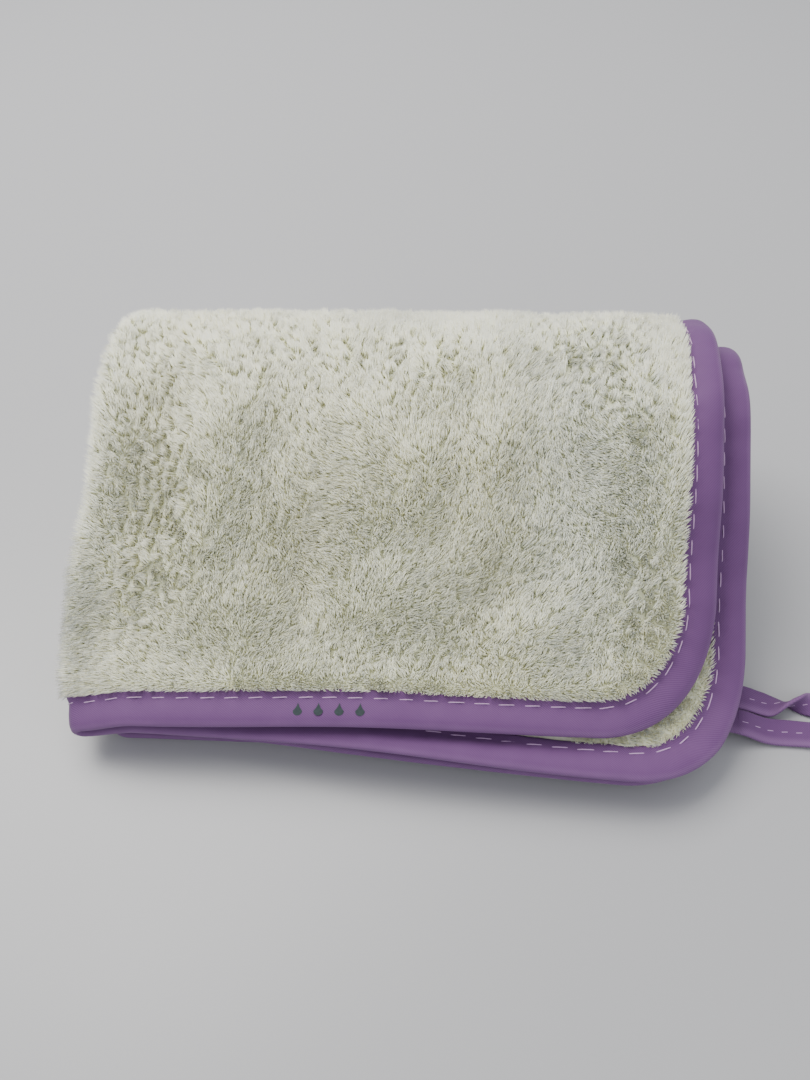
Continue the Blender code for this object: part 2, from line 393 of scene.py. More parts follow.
def side_stations(first, last, kind, step):
    values = np.linspace(first, last, max(2, round(abs(last - first) / step) + 1))
    return np.full(len(values), kind), values


def edge_stations(towel, half, step):
    """Stations along a half's edge between its two crest lines: kind 0 is the outer layer's side, 1 its corner,
    2 the front, 5 the inner layer's corner and 4 its side. The value is inward, the corner's turn, or the share
    of the front."""
    corner = towel.s.corner
    turns = np.linspace(0, math.pi / 2, round(corner * math.pi / 2 / step) + 1)
    front = towel.reach(half, 0.0, 0.0) + towel.reach(half, 1.0, 0.0) - 2 * corner
    parts = [
        side_stations(towel.run, corner, 0, step),
        (np.full(len(turns), 1), turns),
        (np.full(round(front / step) + 1, 2), np.linspace(0, 1, round(front / step) + 1)),
        (np.full(len(turns), 5), turns[::-1]),
        side_stations(corner, towel.run, 4, step),
    ]
    kinds = [k[:-1] for k, _ in parts[:-1]] + [parts[-1][0]]
    values = [v[:-1] for _, v in parts[:-1]] + [parts[-1][1]]
    return np.concatenate(kinds), np.concatenate(values)


# ---------------------------------------------------------------- modelling


def new_grid(name, columns, rows):
    """A flat grid one metre square, from a corner at the origin."""
    bpy.ops.object.select_all(action="DESELECT")
    bpy.ops.mesh.primitive_grid_add(x_subdivisions=columns, y_subdivisions=rows, size=1, location=(0, 0, 0))
    made = bpy.context.object
    made.name = made.data.name = name
    return made


def read_places(made):
    places = np.empty(len(made.data.vertices) * 3)
    made.data.vertices.foreach_get("co", places)
    return places.reshape(-1, 3)


def write_places(made, places):
    made.data.vertices.foreach_set("co", np.ascontiguousarray(places, dtype=np.float64).ravel())
    made.data.update()


def write_uv(made, across, along):
    """A UV map from two values for each vertex."""
    loops = np.empty(len(made.data.loops), dtype=np.int32)
    made.data.loops.foreach_get("vertex_index", loops)
    layer = made.data.uv_layers.active or made.data.uv_layers.new(name="UVMap")
    layer.data.foreach_set("uv", np.stack([across[loops], along[loops]], axis=-1).ravel())


def finish_mesh(made, finish, merge=0.0, recalculate=True):
    """Merges seams, turns the faces outwards, smooths them and gives them their finish."""
    bpy.ops.object.select_all(action="DESELECT")
    made.select_set(True)
    bpy.context.view_layer.objects.active = made
    bpy.ops.object.mode_set(mode="EDIT")
    bpy.ops.mesh.select_all(action="SELECT")
    if merge:
        bpy.ops.mesh.remove_doubles(threshold=merge)
    if recalculate:
        bpy.ops.mesh.normals_make_consistent(inside=False)
    bpy.ops.object.mode_set(mode="OBJECT")
    bpy.ops.object.shade_smooth()
    made.data.materials.clear()
    made.data.materials.append(finish)
    return made


def thicken(made, thickness):
    bpy.context.view_layer.objects.active = made
    wall = made.modifiers.new("thickness", "SOLIDIFY")
    wall.thickness = thickness
    wall.offset = 0.0
    bpy.ops.object.modifier_apply(modifier=wall.name)


def take_shape(made):
    """(places, triangles) of a small model, which is then removed."""
    bpy.ops.object.mode_set(mode="EDIT")
    bpy.ops.mesh.select_all(action="SELECT")
    bpy.ops.mesh.quads_convert_to_tris()
    bpy.ops.object.mode_set(mode="OBJECT")
    places = read_places(made)
    corners = np.empty(len(made.data.loops), dtype=np.int32)
    made.data.loops.foreach_get("vertex_index", corners)
    bpy.data.objects.remove(made)
    return places, corners


def tuft_shape():
    """One tuft of pile, one long and one across: a three-sided wisp, wider than it is thick."""
    bpy.ops.object.select_all(action="DESELECT")
    bpy.ops.mesh.primitive_cone_add(vertices=3, radius1=1, radius2=0, depth=1, location=(0, 0, 0.5))
    bpy.ops.object.transform_apply(location=True)
    made = bpy.context.object
    places = read_places(made)
    places[:, :2] *= (1.2, 0.65)
    write_places(made, places)
    return take_shape(made)


def stitch_shape():
    """One stitch, from -0.5 to 0.5 along X and one across: a plump bar with round ends."""
    bpy.ops.object.select_all(action="DESELECT")
    bpy.ops.mesh.primitive_uv_sphere_add(segments=6, ring_count=5, radius=0.5, rotation=(0, math.pi / 2, 0))
    bpy.ops.object.transform_apply(location=True, rotation=True)
    made = bpy.context.object
    places = read_places(made)
    fuller = np.sign(places[:, 0]) * (np.abs(places[:, 0]) * 2) ** 0.7 / 2
    reach = np.maximum(np.hypot(places[:, 1], places[:, 2]), 0.01)
    girth = np.where(np.abs(places[:, 0]) > 0.49, 1.0, 0.5 / reach)
    places[:, 1:] *= mix(1.0, girth, 0.75)[:, None]
    places[:, 0] = fuller
    write_places(made, places)
    return take_shape(made)


def copies(name, places, corners, finish):
    """One mesh of many copies of a small shape. places holds each copy's vertices."""
    count, each = places.shape[:2]
    mesh = bpy.data.meshes.new(name)
    mesh.vertices.add(count * each)
    mesh.vertices.foreach_set("co", np.ascontiguousarray(places).ravel())
    indices = (corners[None, :] + each * np.arange(count)[:, None]).ravel()
    mesh.loops.add(len(indices))
    mesh.loops.foreach_set("vertex_index", indices.astype(np.int32))
    mesh.polygons.add(len(indices) // 3)
    mesh.polygons.foreach_set("loop_start", np.arange(0, len(indices), 3, dtype=np.int32))
    mesh.update(calc_edges=True)
    mesh.polygons.foreach_set("use_smooth", np.ones(len(indices) // 3, dtype=bool))
    mesh.materials.append(finish)
    made = bpy.data.objects.new(name, mesh)
    bpy.context.scene.collection.objects.link(made)
    return made


def hold(made, body):
    """A piece rides on its half, or, where it runs round the back fold, keeps its place baked into its mesh."""
    if body == "fold":
        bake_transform(made)
    else:
        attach(made, body)
    return made


# ---------------------------------------------------------------- finishes


class Signal:
    """A node's output that takes part in sums."""

    def __init__(self, tree, socket):
        self.tree, self.socket = tree, socket

    def node(self, kind, output=0, settings=(), **inputs):
        """Another node: its settings are made first, then each input is linked or set. Inputs are given by name,
        or by number as in _0."""
        made = self.tree.nodes.new(kind)
        for key, value in dict(settings).items():
            setattr(made, key, value)
        for key, value in inputs.items():
            name = int(key[1:]) if key[0] == "_" else key.replace("_", " ")
            if isinstance(value, Signal):
                self.tree.links.new(value.socket, made.inputs[name])
            else:
                made.inputs[name].default_value = value
        return Signal(self.tree, made.outputs[output])

    def maths(self, operation, first, second=0.0):
        return self.node("ShaderNodeMath", settings={"operation": operation}, _0=first, _1=second)

    def __add__(self, other):
        return self.maths("ADD", self, other)

    __radd__ = __add__

    def __sub__(self, other):
        return self.maths("SUBTRACT", self, other)

    def __rsub__(self, other):
        return self.maths("SUBTRACT", other, self)

    def __mul__(self, other):
        return self.maths("MULTIPLY", self, other)

    __rmul__ = __mul__

    def wave(self):
        return self.maths("SINE", self)

    def between(self, low, high):
        return self.node("ShaderNodeMapRange", settings={"interpolation_type": "SMOOTHSTEP"}, Value=self,
                         From_Min=low, From_Max=high)

    def shade(self, first, second):
        """A colour between two, by this value."""
        return self.node("ShaderNodeMix", output=2, settings={"data_type": "RGBA"}, _0=self, _6=first, _7=second)


def rgba(shade, times=1.0):
    return tuple(min(c * times, 1.0) for c in shade) + (1.0,)


def new_finish(name, base, roughness, **plain):
    """(material, its shader, a signal to start from). plain holds other fixed values of the shader."""
    made = bpy.data.materials.new(name)
    made.use_nodes = True
    made.diffuse_color = rgba(base)
    shader = made.node_tree.nodes["Principled BSDF"]
    shader.inputs["Base Color"].default_value = rgba(base)
    shader.inputs["Roughness"].default_value = roughness
    for key, value in plain.items():
        shader.inputs[key.replace("_", " ")].default_value = value
    return made, shader, Signal(made.node_tree, None)


def link(signal, shader, name):
    signal.tree.links.new(signal.socket, shader.inputs[name])


def finish_of(name):
    return bpy.data.materials.get(name) or FINISHES[name]()


def pile_finish(name, tone):
    """Soft matt fibre: one plain colour for each group of tufts."""
    shade = getattr(bpy.context.scene.towel_colours, tone)
    return new_finish(name, shade, 0.9, Specular_IOR_Level=0.2, Sheen_Weight=0.2, Sheen_Roughness=0.5,
                      Subsurface_Weight=0.6, Subsurface_Radius=(1.0, 0.95, 0.8), Subsurface_Scale=1.2 * MM)[0]


def backing_finish():
    """Knitted ground under the pile, mottled and pitted."""
    shades = bpy.context.scene.towel_colours
    made, shader, start = new_finish("fleece_backing", shades.backing, 0.95, Sheen_Weight=0.2)
    place = start.node("ShaderNodeTexCoord", output="Object")
    mottle = start.node("ShaderNodeTexNoise", Vector=place, Scale=900.0, Detail=4.0)
    link(mottle.shade(rgba(shades.backing, 0.75), rgba(shades.backing, 1.25)), shader, "Base Color")
    link(start.node("ShaderNodeBump", Height=mottle, Strength=0.6, Distance=0.4 * MM), shader, "Normal")
    return made


def tape_finish():
    """Fine twill tape: diagonal ribs, a soft sheen, a painted highlight that makes the rim paler where it is
    folded, random wear and crinkles at the stitching. Its UV map runs along the tape and across it, in metres."""
    shades, edge = bpy.context.scene.towel_colours, bpy.context.scene.towel_edge
    made, shader, start = new_finish("binding_twill", shades.tape, 0.6, Specular_IOR_Level=0.2, Sheen_Weight=0.12,
                                     Sheen_Roughness=0.4)
    uv = start.node("ShaderNodeUVMap", settings={"uv_map": "UVMap"})
    along = start.node("ShaderNodeSeparateXYZ", Vector=uv)
    across = Signal(along.tree, along.socket.node.outputs[1])
    rate = 2 * math.pi / edge.twill
    ribs = (along * rate + across * (rate * 1.15)).wave() * 0.5 + 0.5
    picks = (along * (rate * 1.9) - across * (rate * 0.6)).wave() * 0.5 + 0.5
    place = start.node("ShaderNodeTexCoord", output="Object")
    wear = start.node("ShaderNodeTexNoise", Vector=place, Scale=160.0, Detail=3.0)
    fuzz = start.node("ShaderNodeTexNoise", Vector=place, Scale=2600.0, Detail=2.0)
    # Painted highlight: the tape is paler along its folded rim; the wear noise adds random paler patches
    rim = 1 - across.maths("ABSOLUTE", across).between(0.3 * MM, 2.2 * MM)
    highlight_and_wear = rim * 0.7 + wear * 0.3 + ribs * 0.3 + picks * 0.1 - 0.22
    link(highlight_and_wear.shade(rgba(shades.tape, 0.86), rgba(shades.tape_worn)), shader, "Base Color")
    link(0.66 - ribs * 0.12 + fuzz * 0.08, shader, "Roughness")
    relief = ribs * 0.5 + picks * 0.15 + fuzz * 0.3
    link(start.node("ShaderNodeBump", Height=relief, Strength=0.6, Distance=0.12 * MM), shader, "Normal")
    return made


def thread_finish():
    """Twisted sewing thread."""
    shades = bpy.context.scene.towel_colours
    made, shader, start = new_finish("sewing_thread", shades.thread, 0.45, Sheen_Weight=0.2)
    place = start.node("ShaderNodeTexCoord", output="Object")
    twist = start.node("ShaderNodeTexWave", Vector=place, Scale=900.0, Distortion=1.5)
    link(start.node("ShaderNodeBump", Height=twist, Strength=0.4, Distance=0.08 * MM), shader, "Normal")
    return made


def ink_finish():
    """Printed ink that lets the tape's ribs through."""
    shades = bpy.context.scene.towel_colours
    made, shader, start = new_finish("print_ink", shades.ink, 0.7, Specular_IOR_Level=0.2)
    place = start.node("ShaderNodeTexCoord", output="Object")
    grain = start.node("ShaderNodeTexNoise", Vector=place, Scale=1800.0, Detail=2.0)
    link(grain.shade(rgba(shades.ink), rgba(shades.ink, 2.2)), shader, "Base Color")
    return made


def floor_finish():
    """Smooth pale board with a slight gloss."""
    shades = bpy.context.scene.towel_stage
    made, shader, start = new_finish("floor_board", shades.floor, 0.35)
    place = start.node("ShaderNodeTexCoord", output="Object")
    smear = start.node("ShaderNodeTexNoise", Vector=place, Scale=9.0, Detail=3.0)
    link(smear * 0.12 + 0.3, shader, "Roughness")
    return made


FINISHES = {
    "pile_cream": lambda: pile_finish("pile_cream", "cream"),
    "pile_warm": lambda: pile_finish("pile_warm", "warm"),
    "pile_cool": lambda: pile_finish("pile_cool", "cool"),
    "pile_deep": lambda: pile_finish("pile_deep", "deep"),
    "fleece_backing": backing_finish,
    "binding_twill": tape_finish,
    "sewing_thread": thread_finish,
    "print_ink": ink_finish,
    "floor_board": floor_finish,
}
TONES = ("pile_cream", "pile_warm", "pile_cool", "pile_deep")
MOST_TUFTS = 45000  # in one piece


# ---------------------------------------------------------------- backing


def backing_sheet(name, towel, halves, first, last):
    """(sheet, its flat width and length) of backing between two places inward. With both halves it runs round
    the back fold, from the lower one to the upper one."""
    rows = round((last - first) * len(halves) / BACKING_STEP)
    columns = round(2 * towel.s.top_width / BACKING_STEP)
    made = new_grid(name, columns, rows)
    share = read_places(made)[:, :2] + 0.5
    places = np.empty((len(share), 3))
    widths = np.empty(len(share))
    for i, half in enumerate(halves):
        inward = mix(first, last, share[:, 1])
        mine = np.ones(len(share), dtype=bool)
        if len(halves) == 2:
            over = share[:, 1] > 0.5
            inward = mix(first, last, 1 - np.abs(2 * share[:, 1] - 1))
            mine = over if half == UPPER else ~over
        side = towel.side_line(BACKING_INSET, inward)
        start = -(towel.reach(half, 0.0, inward) - side)
        finish = towel.reach(half, 1.0, inward) - side
        here, _ = towel.lie(half, mix(start, finish, share[:, 0]), inward)
        places[mine] = here[mine]
        widths[mine] = (finish - start)[mine]
    write_places(made, places)
    width = float(widths.mean())
    length_of_cloth = sum(face.area for face in made.data.polygons) / width
    finish_mesh(made, finish_of("fleece_backing"), recalculate=False)
    thicken(made, bpy.context.scene.towel_pile.backing)
    return made, (width, length_of_cloth)


class TOWEL_OT_backing(bpy.types.Operator):
    """Fold the knitted backing: two halves and the stretch round the back fold"""

    bl_idname = "towel.backing"
    bl_label = "Backing"

    def execute(self, context):
        towel = Folded()
        for name, half, body in (("backing_lower", LOWER, STAY), ("backing_upper", UPPER, TURN)):
            made, flat = backing_sheet(name, towel, (half,), BACKING_INSET, towel.run)
            hold(made, body)
            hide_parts("fleece_lower" if half == LOWER else "fleece_upper")
            made["flat"] = flat
        made, flat = backing_sheet("backing_fold", towel, (LOWER, UPPER), towel.run, towel.end)
        hold(made, "fold")
        made["flat"] = flat
        return {"FINISHED"}


# ---------------------------------------------------------------- pile


def clumps(across, inward, gap, rng):
    """Each tuft's clump: its middle, and four chance values that all of its tufts share."""
    edges = (across.min(), across.max(), inward.min(), inward.max())
    rows, columns = np.meshgrid(np.arange(edges[0] - gap, edges[1] + 2 * gap, gap),
                                np.arange(edges[2] - gap, edges[3] + 2 * gap, gap))
    middles = np.stack([rows.ravel(), columns.ravel()], axis=-1)
    middles += rng.uniform(-0.65, 0.65, middles.shape) * gap
    tree = kdtree.KDTree(len(middles))
    for i, (a, b) in enumerate(middles):
        tree.insert((a, b, 0), i)
    tree.balance()
    nearest = np.array([tree.find((a, b, 0))[1] for a, b in zip(across, inward)])
    chance = rng.uniform(0, 1, (len(middles), 4))[nearest]
    return middles[nearest, 0], middles[nearest, 1], chance.T


def plant(towel, half, face, low, high, inwards, spacing, height, seed, grow=None):
    """Tufts on one face between two places across and two inward. Returns their feet, the way out of the cloth,
    a way along it, their tips' drift and their tone."""
    pile = bpy.context.scene.towel_pile
    rng = np.random.default_rng(seed)
    across, inward = np.meshgrid(np.arange(low, high, spacing), np.arange(inwards[0], inwards[1], spacing))
    across = across.ravel() + rng.uniform(-0.6, 0.6, across.size) * spacing
    inward = inward.ravel() + rng.uniform(-0.6, 0.6, inward.size) * spacing
    inset = towel.edge_inset(half, across, inward)
    keep = (inset > bpy.context.scene.towel_edge.binding) & (inward < towel.end)
    keep &= (inward >= inwards[0]) & (inward < inwards[1])
    if grow is not None:
        keep &= grow(across, inward)
    across, inward, inset = across[keep], inward[keep], inset[keep]
    here, out = towel.lie(half, across, inward)
    if face == INNER:
        out = -out
    step = 0.3 * MM
    side = unit(towel.lie(half, across + step, inward)[0] - here)
    ahead = unit(towel.lie(half, across, inward + step)[0] - here)

    middle_a, middle_i, shift = clumps(across, inward, pile.clump, rng)
    _, x = towel.spot(half, across, inward)
    tangled = mound(x, inward, (-48, 85), (48, 34)) + 0.8 * mound(x, inward, (50, 82), (26, 20))
    brushed = ease(1.05 - tangled + 0.45 * ripple(across, inward, 36 * MM, 21))
    draw = mix(0.62, 0.2, brushed) * (0.6 + 0.5 * shift[1])
    angle = 0.9 * ripple(across, inward, 44 * MM, 31) + mix(2.2, 0.5, brushed) * (shift[2] - 0.5) * 2
    angle += mix(1.5, 0.6, ease((-45 * MM - x) / (25 * MM)))
    angle += rng.normal(0, 0.22, across.size)
    lean = pile.lean * (0.5 + 0.9 * shift[3] + 0.5 * brushed) * rng.uniform(0.6, 1.3, across.size)
    drift = np.stack([middle_a - across, middle_i - inward], axis=-1) * draw[:, None]
    drift += np.stack([np.cos(angle), np.sin(angle)], axis=-1) * lean[:, None]
    lip = 0.4 * MM
    inside = unit(np.stack([
        towel.edge_inset(half, across + lip, inward) - towel.edge_inset(half, across - lip, inward),
        towel.edge_inset(half, across, inward + lip) - towel.edge_inset(half, across, inward - lip),
    ], axis=-1))
    near = 1 - ease((inset - 8 * MM) / (3 * MM))
    drift -= inside * (near * ((drift * inside).sum(axis=-1) + 0.9 * MM))[:, None]
    drift = side * drift[:, :1] + ahead * drift[:, 1:]

    tall = height * rng.uniform(0.72, 1.12, across.size) * (0.88 + 0.24 * shift[0])
    tint = ripple(x, inward, 55 * MM, 41) * 0.5 + rng.normal(0, 0.45, across.size)
    cool = 0.8 * mound(x, inward, (46, 45), (18, 30)) + 0.4 * mound(x, inward, (-72, 30), (9, 40))
    # Painted shade: in the cloth's hollows and a few patches near them, more tufts take the darker tone
    painted_shade_share = 1.5 * mound(x, inward, (-55, 54), (9, 20)) + 0.8 * mound(x, inward, (-20, 30), (8, 12))
    painted_shade_share += 0.6 * mound(x, inward, (22, 27), (8, 10)) + 0.4 * mound(x, inward, (-25, 62), (25, 10))
    tone = np.where(tint > 0.35, 1, 0)
    tone = np.where(rng.uniform(0, 1, tint.size) < 0.12 + 0.75 * cool, 2, tone)
    # Tone 3, the darker one, is painted shade
    tone = np.where(rng.uniform(0, 1, tint.size) < 0.05 + 0.4 * painted_shade_share, 3, tone)
    return here, out, side, drift, tall, tone


def grow_pile(name, patches, body, floor=None):
    """Pieces of pile, one for each tone, from planted patches."""
    pile = bpy.context.scene.towel_pile
    shape, corners = tuft_shape()
    here, out, side, drift, tall, tone = (np.concatenate(part) for part in zip(*patches))
    rng = np.random.default_rng(len(here))
    spin = rng.normal(0, 0.45, len(here))[:, None]
    width = pile.tuft * rng.uniform(0.8, 1.3, len(here))
    flow = unit(out * tall[:, None] + drift)
    flat, back = unit(np.cross(flow, out)), unit(np.cross(np.cross(flow, out), flow))
    first, second = flat * np.cos(spin) + back * np.sin(spin), back * np.cos(spin) - flat * np.sin(spin)
    made = []
    shares = [(finish, part) for i, finish in enumerate(TONES)
              for part in np.array_split(np.flatnonzero(tone == i), 1 + np.sum(tone == i) // MOST_TUFTS)]
    for number, (finish, mine) in enumerate(shares):
        up = shape[None, :, 2:3]
        rise = tall[mine, None, None] * (1.35 * up - 0.35 * up**2)
        lean = drift[mine, None, :] * (0.25 * up + 0.75 * up**2)
        across = width[mine, None, None] * (
            first[mine, None, :] * shape[None, :, 0:1] + second[mine, None, :] * shape[None, :, 1:2]
        )
        places = here[mine, None, :] + out[mine, None, :] * rise + lean + across
        if floor is not None:
            places[..., 2] = np.maximum(places[..., 2], floor)
        piece = copies(f"{name}_{finish[5:]}_{number}", places, corners, finish_of(finish))
        made.append(hold(piece, body))
    return made


class TOWEL_OT_pile(bpy.types.Operator):
    """Plant the pile on the faces that show, tuft by tuft"""

    bl_idname = "towel.pile"
    bl_label = "Pile"

    def execute(self, context):
        towel, pile = Folded(), context.scene.towel_pile
        near, far = 6 * MM, towel.run
        full = towel.reach(UPPER, 1.0, far)
        bend = towel.s.roll_pitch
        top, inside, under = pile.spacing, pile.spacing * 1.9, pile.spacing * 2.4
        tall, low = pile.height, pile.height * 0.72
        grow_pile("pile_top", [plant(towel, UPPER, OUTER, -full, bend, (near, far), top, tall, 1)], TURN)
        grow_pile("pile_back", [
            plant(towel, UPPER, OUTER, -full, bend, (far, towel.end), top * 1.05, tall, 2),
            plant(towel, LOWER, OUTER, -full, bend, (far, towel.end), top * 1.7, tall, 3),
        ], "fold", floor=0.05 * MM)
        grow_pile("pile_roof", [
            plant(towel, UPPER, OUTER, bend, full, (near, far), inside, low, 4),
            plant(towel, UPPER, INNER, full - 36 * MM, full, (near, 34 * MM), top * 1.1, low, 5),
        ], TURN)
        grow_pile("pile_hollow", [
            plant(towel, UPPER, OUTER, bend, full, (far, towel.end), inside, low, 6),
            plant(towel, LOWER, OUTER, bend, full, (far, towel.end), inside, low, 7),
        ], "fold")
        grow_pile("pile_bed", [plant(towel, LOWER, OUTER, bend, full, (near, far), inside, low, 8)], STAY)
        grow_pile("pile_floor", [
            plant(towel, LOWER, OUTER, -full, bend, (near, far), under, towel.s.base * 0.95, 9),
        ], STAY, floor=0.05 * MM)
        return {"FINISHED"}


# ---------------------------------------------------------------- binding and stitching


def tape_profile(edge):
    """The folded tape in section, as (inset, height) from the inner edge of one face, round the rim, to the
    inner edge of the other."""
    high = edge.thickness / 2
    face = [(8.0, 0.35), (7.95, 0.6), (7.6, 0.72), (7.0, 0.72), (6.2, 0.64), (5.4, 0.76), (4.3, 0.9), (3.1, 1.0),
            (2.0, 0.98), (1.2, 0.86), (0.55, 0.63), (0.15, 0.33), (0.0, 0.0)]
    scale = edge.binding / 8
    one = [(inset * scale, share * high) for inset, share in face]
    return np.array(one + [(inset, -height) for inset, height in one[-2::-1]])


def along_line(places):
    return np.concatenate([[0.0], np.cumsum(np.linalg.norm(np.diff(places, axis=0), axis=1))])


def bind(name, towel, runs, body):
    """A stretch of binding over runs of (half, stations), one after the other."""
    edge = bpy.context.scene.towel_edge
    profile = tape_profile(edge)
    count = len(profile)
    sections, lines = [], []
    for half, stations in runs:
        rim_across, rim_inward = towel.edge_place(half, 0.0, stations)
        lines.append(towel.lie(half, rim_across, rim_inward)[0])
        section = []
        for inset, height in profile:
            across, inward = towel.edge_place(half, inset, stations)
            here, out = towel.lie(half, across, inward)
            section.append((here, out, inset, height))
        sections.append(section)
    rim = np.concatenate(lines)
    along = along_line(rim)
    calm = ease(np.minimum(along, along[-1] - along) / (4 * MM))
    pulls = calm * (0.5 + 0.5 * np.cos(2 * math.pi * along / edge.stitch_pitch))
    waves = calm * (ripple(along, along * 0, 19 * MM, 51) * 0.6 + ripple(along, along * 0, 7 * MM, 52) * 0.5)
    columns, rows = len(rim) - 1, count
    made = new_grid(name, columns, rows)
    share = read_places(made)[:, :2] + 0.5
    column = np.rint(share[:, 0] * columns).astype(int)
    row = np.rint(share[:, 1] * rows).astype(int) % count
    heres = np.stack([np.concatenate([part[k][0] for part in sections]) for k in range(count)])
    outs = np.stack([np.concatenate([part[k][1] for part in sections]) for k in range(count)])
    insets, heights = profile[row, 0], profile[row, 1]
    near = np.exp(-(((insets - edge.stitch_inset) / (1.1 * MM)) ** 2))
    height = heights * (1 - 0.24 * near * pulls[column] ** 3 + 0.08 * waves[column])
    flare = np.exp(-(((insets - edge.binding) / (0.8 * MM)) ** 2)) * (0.25 - 0.35 * pulls[column]) * 0.35 * MM
    places = heres[row, column] + outs[row, column] * (height + np.sign(heights) * flare)[:, None]
    write_places(made, places)
    girth = along_line(np.column_stack([profile, np.zeros(count)]))
    middle = girth[count // 2]
    write_uv(made, along[column], girth[row] - middle)
    return hold(finish_mesh(made, finish_of("binding_twill"), merge=MERGE), body)


def edge_runs(towel, step):
    """The edge's stretches: each with its name, body and runs of (half, stations)."""
    back = [side_stations(towel.run, towel.end, kind, step) for kind in (0, 4)]
    forth = [(kind, value[::-1]) for kind, value in back]
    return [
        ("lower", STAY, [(LOWER, edge_stations(towel, LOWER, step))]),
        ("upper", TURN, [(UPPER, edge_stations(towel, UPPER, step))]),
        ("back_outer", "fold", [(LOWER, back[0]), (UPPER, (forth[0][0][1:], forth[0][1][1:]))]),
        ("back_inner", "fold", [(LOWER, back[1]), (UPPER, (forth[1][0][1:], forth[1][1][1:]))]),
    ]


class TOWEL_OT_binding(bpy.types.Operator):
    """Fold the twill tape over the edge all round"""

    bl_idname = "towel.binding"
    bl_label = "Binding"

    def execute(self, context):
        towel = Folded()
        for name, body, runs in edge_runs(towel, EDGE_STEP):
            made = bind(f"binding_{name}" if name.startswith("back") else f"tape_{name}", towel, runs, body)
            if name in ("lower", "upper"):
                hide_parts(f"binding_{name}")
        return {"FINISHED"}


def sew(name, line, out, width, pitch, body):
    """Stitches along a line of places, each plump in the middle and sunk at its ends."""
    shape, corners = stitch_shape()
    along = along_line(line)
    count = int(along[-1] // pitch)
    starts = (np.arange(count) + 0.09) * pitch
    bar = pitch * 0.84
    at = starts[:, None] + (shape[None, :, 0] + 0.5) * bar
    where = np.stack([np.interp(at, along, line[:, k]) for k in range(3)], axis=-1)
    up = unit(np.stack([np.interp(at, along, out[:, k]) for k in range(3)], axis=-1))
    ahead = unit(np.stack([np.gradient(line[:, k], along) for k in range(3)], axis=-1))
    ahead = unit(np.stack([np.interp(at, along, ahead[:, k]) for k in range(3)], axis=-1))
    side = np.cross(up, ahead)
    sink = -0.42 * MM * np.abs(shape[None, :, 0] * 2) ** 4
    slant = 0.1 * MM * shape[None, :, 0] * 2
    places = where + side * (shape[None, :, 1] * width + slant)[..., None]
    places = places + up * (shape[None, :, 2] * width * 0.8 + sink)[..., None]
    return hold(copies(name, places, corners, finish_of("sewing_thread")), body)


class TOWEL_OT_stitching(bpy.types.Operator):
    """Sew the binding down on both of its faces"""

    bl_idname = "towel.stitching"
    bl_label = "Stitching"

    def execute(self, context):
        towel, edge = Folded(), context.scene.towel_edge
        high = edge.thickness / 2 * 0.62 + edge.thread * 0.15
        for name, body, runs in edge_runs(towel, EDGE_STEP):
            for word, face in (("needle", 1), ("bobbin", -1)):
                lines, outs = [], []
                for half, stations in runs:
                    spot = towel.edge_place(half, edge.stitch_inset, stations)
                    here, out = towel.lie(half, *spot)
                    lines.append(here + out * face * high)
                    outs.append(out * face)
                made = sew(f"{word}_stitches_{name}", np.concatenate(lines), np.concatenate(outs), edge.thread,
                           edge.stitch_pitch, body)
                if name in ("lower", "upper"):
                    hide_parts(f"{word}_thread_{name}")
        return {"FINISHED"}


# ---------------------------------------------------------------- hanging loop


def smooth_line(knots, steps):
    """A Catmull-Rom curve through the knots."""
    line, last = [], len(knots) - 1
    for i in range(last):
        a, b, c, d = (knots[min(max(i + k, 0), last)] for k in (-1, 0, 1, 2))
        for t in np.arange(steps) / steps:
            line.append(b + 0.5 * t * (c - a + t * (2 * a - 5 * b + 4 * c - d + t * (3 * b - a - 3 * c + d))))
    return np.array(line + [knots[last]])


def loop_root(towel, edge):
    """The loop's root, and the ways out of the corner and along it."""
    radius = towel.s.corner + edge.loop_clearance
    side = towel.s.corner - radius * math.cos(edge.loop_angle)
    inward = towel.s.corner - radius * math.sin(edge.loop_angle)
    across = towel.reach(UPPER, 1.0, inward) - side
    x, y, _ = towel.bare(UPPER, across, inward)
    root = np.array([x, y, towel.s.base + towel.s.front_pitch / 2])
    out = np.array([math.cos(edge.loop_angle), -math.sin(edge.loop_angle), 0])
    along = np.array([math.sin(edge.loop_angle), math.cos(edge.loop_angle), 0])
    return root, out, along


def lay_tape(name, line, twist, width, thickness, finish):
    """A flat tape with soft edges along a line, with a twist about it and a width for each place."""
    ahead = unit(np.gradient(line, axis=0))
    level = unit(np.stack([-ahead[:, 1], ahead[:, 0], ahead[:, 0] * 0], axis=-1))
    top = np.cross(ahead, level)
    turn = twist[:, None]
    across = level * np.cos(turn) + top * np.sin(turn)
    face = np.cross(ahead, across)
    half, thick = np.broadcast_to(width / 2, len(line)), thickness / 2
    section = [(1.0, 0.0), (0.97, 0.6), (0.86, 1.0), (0.7, 0.78), (0.5, 1.0), (0.0, 1.05), (-0.5, 1.0), (-0.7, 0.78),
               (-0.86, 1.0), (-0.97, 0.6), (-1.0, 0.0)]
    profile = np.array(section + [(a, -b) for a, b in section[-2:0:-1]])
    count = len(profile)
    made = new_grid(name, len(line) - 1, count)
    share = read_places(made)[:, :2] + 0.5
    column = np.rint(share[:, 0] * (len(line) - 1)).astype(int)
    row = np.rint(share[:, 1] * count).astype(int) % count
    aside, off = profile[row, 0] * half[column], profile[row, 1] * thick
    write_places(made, line[column] + across[column] * aside[:, None] + face[column] * off[:, None])
    write_uv(made, along_line(line)[column], 3 * MM + aside)
    return finish_mesh(made, finish, merge=MERGE), face


